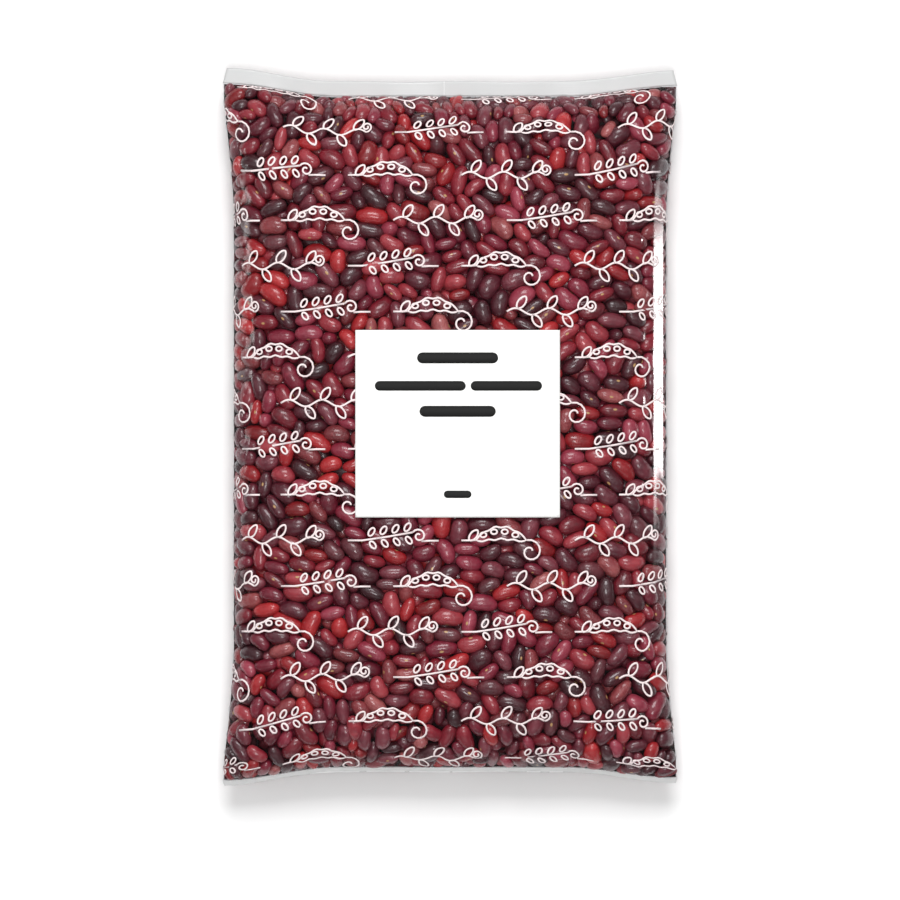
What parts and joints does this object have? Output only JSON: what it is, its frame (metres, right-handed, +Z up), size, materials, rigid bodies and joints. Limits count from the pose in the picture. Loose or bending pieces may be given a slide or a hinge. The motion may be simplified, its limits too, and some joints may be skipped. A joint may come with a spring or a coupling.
{
  "type": "bag of dried beans",
  "caption": "Full pillow bag of clear film holding dried red kidney beans, flat-sealed at both ends, with a rectangular paper label on the front, lying on its back.",
  "frame": {"origin": "on the surface the bag lies on, under the middle of the bag's box", "axes": "+X to the right across the front, +Y towards the header seal, +Z up out of the front that carries the label"},
  "size_m": [0.2818, 0.4448, 0.0693],
  "materials": {
    "clear_film": "clear, smooth and glossy, drawn tight over dark red beans",
    "label_paper": "smooth white paper, satin",
    "dried_beans": "hard glossy seed coats, dark red",
    "print_ink": "thin flat ink"
  },
  "bodies": {
    "root": {"bag": "clear_film", "label": "label_paper"}
  },
  "joints": []
}
